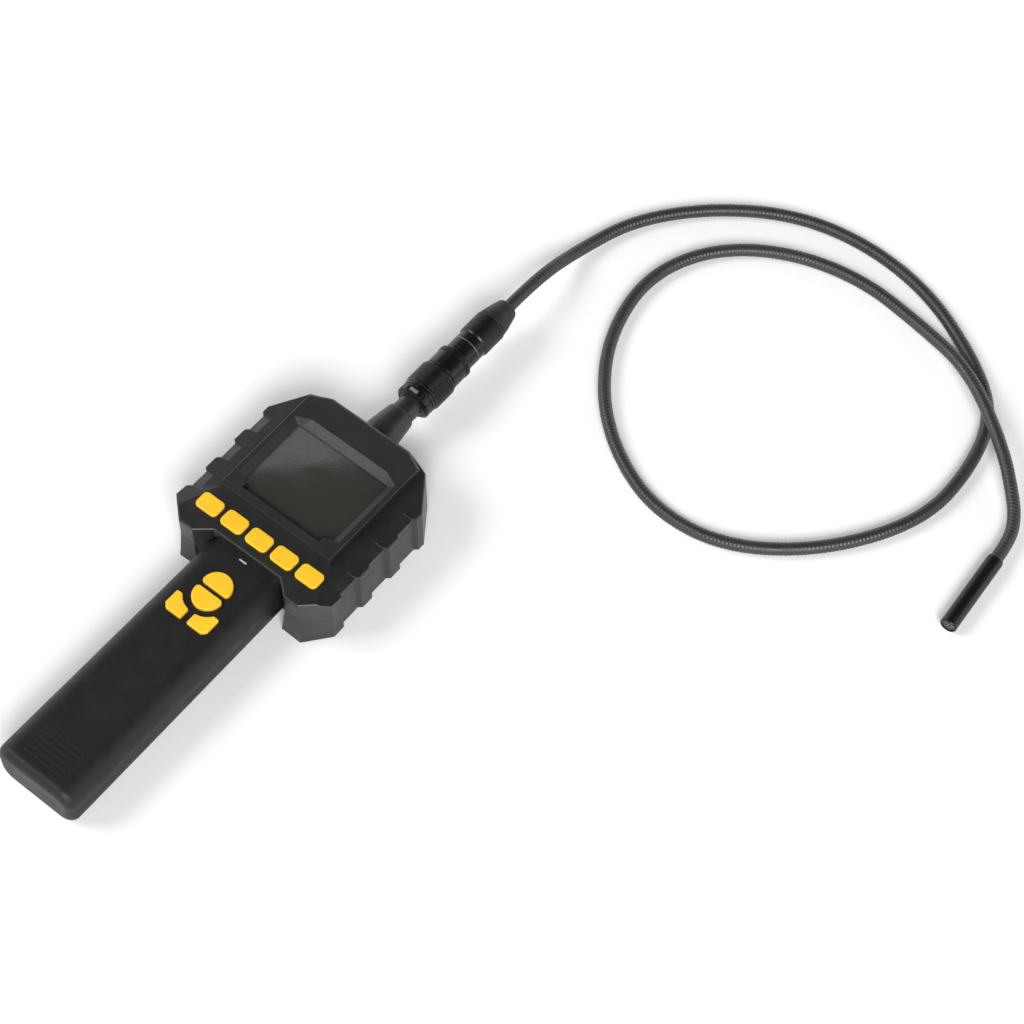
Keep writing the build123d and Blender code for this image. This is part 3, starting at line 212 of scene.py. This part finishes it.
def make_sleeve():
    """Diamond-knurled grip sleeve with plain, slightly smaller rims."""
    start, end = SLEEVE_Y
    y = np.linspace(start, end, SLEEVE_ROWS)
    angles = np.linspace(0, 2 * np.pi, SLEEVE_SIDES, endpoint=False)
    turn = KNURL_COUNT * angles[None, :] / 2
    travel = np.pi * (y[:, None] - start) / KNURL_LEAD
    diamonds = np.abs(np.cos(turn + travel) * np.cos(turn - travel)) ** KNURL_POWER
    from_rim = np.minimum(y - start, end - y)
    knurled = (from_rim > RIM_WIDTH)[:, None]
    radii = np.where(knurled, SLEEVE_RADIUS - KNURL_DEPTH * (1.0 - diamonds), SLEEVE_RADIUS - RIM_STEP)
    radii = radii - RIM_STEP * (from_rim < RIM_EDGE_WIDTH)[:, None]
    outer = np.stack((radii * np.sin(angles), np.broadcast_to(y[:, None], radii.shape),
                      AXIS_Z + radii * np.cos(angles)), axis=2).reshape(-1, 3)
    rims = [(SLEEVE_INNER_RADIUS * math.sin(angle), rim_y, AXIS_Z + SLEEVE_INNER_RADIUS * math.cos(angle))
            for rim_y in (end, start) for angle in angles]
    loops = SLEEVE_ROWS + 2
    faces = []
    for loop in range(loops):
        here = loop * SLEEVE_SIDES
        there = (loop + 1) % loops * SLEEVE_SIDES
        for number in range(SLEEVE_SIDES):
            after = (number + 1) % SLEEVE_SIDES
            faces.append((here + number, here + after, there + after, there + number))
    sleeve = mesh_object("knurled_sleeve", np.concatenate((outer, rims)) * MM, faces)
    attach(sleeve, "cable_and_probe")
    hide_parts("grip_sleeve")
    return sleeve


# ---------------------------------------------------------------- materials
class Graph:
    """Small helper that adds and joins the nodes of one material."""

    def __init__(self, name):
        self.material = bpy.data.materials.new(name)
        self.material.use_nodes = True
        self.nodes = self.material.node_tree.nodes
        self.links = self.material.node_tree.links
        self.shader = self.nodes["Principled BSDF"]
        self.place = self.nodes.new("ShaderNodeTexCoord").outputs["Object"]

    def node(self, kind, **inputs):
        """New node with its plain inputs set by name."""
        node = self.nodes.new(kind)
        for key, value in inputs.items():
            node.inputs[key.replace("_", " ")].default_value = value
        return node

    def noise(self, scale, detail=3.0):
        node = self.node("ShaderNodeTexNoise", Scale=scale, Detail=detail, Roughness=NOISE_ROUGHNESS)
        self.links.new(self.place, node.inputs["Vector"])
        return node.outputs["Fac"]

    def ranged(self, source, low, high, from_low=0.3, from_high=0.7):
        """Source carried from one range to another."""
        node = self.nodes.new("ShaderNodeMapRange")
        node.inputs["From Min"].default_value = from_low
        node.inputs["From Max"].default_value = from_high
        node.inputs["To Min"].default_value = low
        node.inputs["To Max"].default_value = high
        self.links.new(source, node.inputs["Value"])
        return node.outputs["Result"]

    def blend_colours(self, source, first, second):
        node = self.nodes.new("ShaderNodeMix")
        node.data_type = "RGBA"
        node.inputs["A"].default_value = (*first, 1.0)
        node.inputs["B"].default_value = (*second, 1.0)
        self.links.new(source, node.inputs["Factor"])
        return node.outputs["Result"]

    def bump(self, height, distance, edge_radius=0.0):
        """Relief of a real depth in metres, over edges softened by a real radius."""
        node = self.nodes.new("ShaderNodeBump")
        node.inputs["Distance"].default_value = distance
        node.inputs["Strength"].default_value = 1.0
        self.links.new(height, node.inputs["Height"])
        if edge_radius:
            bevel = self.nodes.new("ShaderNodeBevel")
            bevel.samples = BEVEL_SAMPLES
            bevel.inputs["Radius"].default_value = edge_radius
            self.links.new(bevel.outputs["Normal"], node.inputs["Normal"])
        self.links.new(node.outputs["Normal"], self.shader.inputs["Normal"])


def moulded(name, colour, roughness, grain, depth, edge=0.0, variation=0.25, specular=0.5):
    """Moulded, rubbery or anodised surface: fine grain, soft blotches and an uneven sheen.

    Grain, depth and edge are in millimetres."""
    graph = Graph(name)
    darker = tuple(c * (1 - variation) for c in colour)
    lighter = tuple(min(1.0, c * (1 + variation)) for c in colour)
    blotches = graph.ranged(graph.noise(38.0, detail=5.0), low=0.0, high=1.0)
    graph.links.new(graph.blend_colours(blotches, darker, lighter), graph.shader.inputs["Base Color"])
    sheen = graph.ranged(graph.noise(120.0, detail=4.0), roughness - SHEEN_SPREAD, roughness + SHEEN_SPREAD)
    graph.links.new(sheen, graph.shader.inputs["Roughness"])
    graph.shader.inputs["Specular IOR Level"].default_value = specular
    graph.bump(graph.noise(1.0 / (grain * MM), detail=2.0), depth * MM, edge * MM)
    return graph.material


def machined(name, colour, roughness):
    """Metal with fine rings that follow one another along Y, the cable's axis at the plug."""
    graph = Graph(name)
    marks = graph.node("ShaderNodeTexWave", Scale=900.0, Distortion=1.5, Detail=2.0)
    marks.bands_direction = "Y"
    graph.links.new(graph.place, marks.inputs["Vector"])
    tone = graph.ranged(graph.noise(200.0), 0.0, 1.0)
    darker = tuple(c * 0.8 for c in colour)
    graph.links.new(graph.blend_colours(tone, darker, colour), graph.shader.inputs["Base Color"])
    worn = graph.ranged(marks.outputs["Fac"], roughness - 0.05, roughness + 0.1, 0.0, 1.0)
    graph.links.new(worn, graph.shader.inputs["Roughness"])
    graph.shader.inputs["Metallic"].default_value = 1.0
    graph.bump(marks.outputs["Fac"], FAINT_RELIEF)
    return graph.material


def clear_cover(name, alpha):
    """Tinted window that lets part of the light through, with faint smears."""
    graph = Graph(name)
    smears = graph.ranged(graph.noise(60.0, detail=1.0), 0.04, 0.07)
    graph.links.new(smears, graph.shader.inputs["Roughness"])
    tint = graph.blend_colours(graph.noise(25.0), (0.036, 0.036, 0.032), (0.046, 0.046, 0.041))
    graph.links.new(tint, graph.shader.inputs["Base Color"])
    graph.shader.inputs["Alpha"].default_value = alpha
    graph.shader.inputs["Specular IOR Level"].default_value = 0.9
    graph.bump(graph.noise(40.0, detail=1.0), FAINT_RELIEF)
    return graph.material


def display_film(name):
    """Unlit panel: dark olive film with a very fine cell pattern."""
    graph = Graph(name)
    cells = graph.node("ShaderNodeTexVoronoi", Scale=9000.0)
    graph.links.new(graph.place, cells.inputs["Vector"])
    fine = graph.ranged(cells.outputs["Distance"], 0.0, 1.0, 0.0, 0.7)
    colour = graph.blend_colours(fine, (0.036, 0.0365, 0.030), (0.042, 0.0425, 0.0355))
    graph.links.new(colour, graph.shader.inputs["Base Color"])
    haze = graph.ranged(graph.noise(18.0), 0.25, 0.38)
    graph.links.new(haze, graph.shader.inputs["Roughness"])
    graph.bump(graph.noise(90.0, detail=1.0), FILM_RELIEF)
    return graph.material


def lamp(name, colour, strength):
    """Milky resin that glows a little."""
    graph = Graph(name)
    tone = graph.ranged(graph.noise(900.0), 0.0, 1.0)
    darker = tuple(c * 0.85 for c in colour)
    mix = graph.blend_colours(tone, darker, colour)
    graph.links.new(mix, graph.shader.inputs["Base Color"])
    graph.shader.inputs["Emission Color"].default_value = (*colour, 1.0)
    graph.shader.inputs["Emission Strength"].default_value = strength
    graph.shader.inputs["Roughness"].default_value = 0.3
    graph.bump(graph.noise(1500.0), FAINT_RELIEF)
    return graph.material


def make_materials():
    """One material for each slot of the record."""
    return {
        "housing": moulded("housing", (0.0105, 0.0105, 0.0108), roughness=0.40, grain=0.32, depth=0.022,
                           edge=0.4, specular=0.55),
        "handle": moulded("handle", (0.006, 0.006, 0.0062), roughness=0.5, grain=0.26, depth=0.02,
                          edge=0.3, specular=0.34),
        "key": moulded("key", (0.83, 0.49, 0.016), roughness=0.42, grain=0.5, depth=0.01,
                       edge=0.2, variation=0.05),
        "glass": clear_cover("glass", alpha=0.42),
        "display": display_film("display"),
        "board": moulded("board", (0.01, 0.09, 0.03), roughness=0.4, grain=0.6, depth=0.02, variation=0.3),
        "component": moulded("component", (0.02, 0.02, 0.02), roughness=0.5, grain=0.3, depth=0.01),
        "screw_steel": machined("screw_steel", (0.55, 0.55, 0.56), roughness=0.3),
        "contact_steel": machined("contact_steel", (0.7, 0.7, 0.7), roughness=0.25),
        "cell": moulded("cell", (0.10, 0.10, 0.11), roughness=0.3, grain=1.5, depth=0.01),
        "inner_plastic": moulded("inner_plastic", (0.03, 0.03, 0.03), roughness=0.5, grain=0.4, depth=0.02),
        "contact_brass": machined("contact_brass", (0.8, 0.6, 0.28), roughness=0.25),
        "soft_rubber": moulded("soft_rubber", (0.006, 0.006, 0.0063), roughness=0.5, grain=0.3,
                               depth=0.015, edge=0.3),
        "connector_black": moulded("connector_black", (0.004, 0.004, 0.0042), roughness=0.28, grain=0.2,
                                   depth=0.006, edge=0.15, specular=0.36),
        "connector_metal": machined("connector_metal", (0.24, 0.24, 0.24), roughness=0.38),
        "bright_ring": machined("bright_ring", (0.62, 0.62, 0.63), roughness=0.25),
        "cable": moulded("cable", (0.021, 0.020, 0.020), roughness=0.4, grain=0.25, depth=0.01,
                         specular=0.6),
        "probe_dark": moulded("probe_dark", (0.005, 0.005, 0.0053), roughness=0.28, grain=0.2,
                              depth=0.004, edge=0.15, specular=0.36),
        "reflector": moulded("reflector", (0.72, 0.72, 0.70), roughness=0.35, grain=0.3, depth=0.004),
        "light": lamp("light", (0.45, 0.46, 0.47), strength=0.05),
    }


def paint_nodes(materials):
    """Give every CAD node the material of its slot."""
    for entry in frame["record"]["subparts"]:
        mesh = frame["nodes"][entry["node"]].data
        mesh.materials.clear()
        mesh.materials.append(materials[entry["material_slot"]])


# ---------------------------------------------------------------- stage
def make_floor():
    """Near-white floor, which belongs to the stage and not to the object."""
    corners = [(-FLOOR_HALF, -FLOOR_HALF, FLOOR_LEVEL), (FLOOR_HALF, -FLOOR_HALF, FLOOR_LEVEL),
               (FLOOR_HALF, FLOOR_HALF, FLOOR_LEVEL), (-FLOOR_HALF, FLOOR_HALF, FLOOR_LEVEL)]
    floor = mesh_object("floor", corners, [(0, 1, 2, 3)], smooth=False)
    graph = Graph("floor")
    tone = graph.blend_colours(graph.noise(3.0), (0.90, 0.90, 0.90), (0.93, 0.93, 0.93))
    graph.links.new(tone, graph.shader.inputs["Base Color"])
    graph.shader.inputs["Roughness"].default_value = 0.9
    graph.shader.inputs["Specular IOR Level"].default_value = 0.1
    floor.data.materials.append(graph.material)


def area_light(name, place, target, size, power):
    """Rectangular light at a place in metres, turned to its target."""
    data = bpy.data.lights.new(name, "AREA")
    data.shape = "RECTANGLE"
    data.size, data.size_y = size
    data.energy = power
    light = bpy.data.objects.new(name, data)
    bpy.context.scene.collection.objects.link(light)
    light.location = place
    direction = Vector(target) - Vector(place)
    light.rotation_mode = "QUATERNION"
    light.rotation_quaternion = direction.to_track_quat("-Z", "Y")


def make_sky():
    """Studio surroundings: a bright band low down and a dim ceiling."""
    world = bpy.data.worlds.new("studio")
    bpy.context.scene.world = world
    world.use_nodes = True
    nodes, links = world.node_tree.nodes, world.node_tree.links
    place = nodes.new("ShaderNodeTexCoord")
    axes = nodes.new("ShaderNodeSeparateXYZ")
    links.new(place.outputs["Generated"], axes.inputs["Vector"])
    falloff = nodes.new("ShaderNodeMapRange")
    falloff.inputs["From Min"].default_value = HORIZON_HEIGHT
    falloff.inputs["From Max"].default_value = CEILING_HEIGHT
    falloff.inputs["To Min"].default_value = HORIZON_LIGHT
    falloff.inputs["To Max"].default_value = CEILING_LIGHT
    links.new(axes.outputs["Z"], falloff.inputs["Value"])
    sky = nodes["Background"]
    sky.inputs["Color"].default_value = (1.0, 1.0, 1.0, 1.0)
    links.new(falloff.outputs["Result"], sky.inputs["Strength"])


def make_lights():
    """Sky, two large lights and the panel seen in the screen's cover."""
    make_sky()
    area_light("key", KEY_PLACE, STUDIO_TARGET, STUDIO_LIGHT_SIZE, KEY_POWER)
    area_light("fill", FILL_PLACE, STUDIO_TARGET, STUDIO_LIGHT_SIZE, FILL_POWER)
    area_light("panel", PANEL_PLACE, PANEL_TARGET, PANEL_SIZE, PANEL_POWER)
    bpy.context.scene.view_settings.view_transform = "Standard"


make_camera()
knurled_sleeve = make_sleeve()
gooseneck = make_cable()
materials = make_materials()
paint_nodes(materials)
gooseneck.data.materials.append(materials["cable"])
knurled_sleeve.data.materials.append(materials["connector_black"])
make_floor()
make_lights()
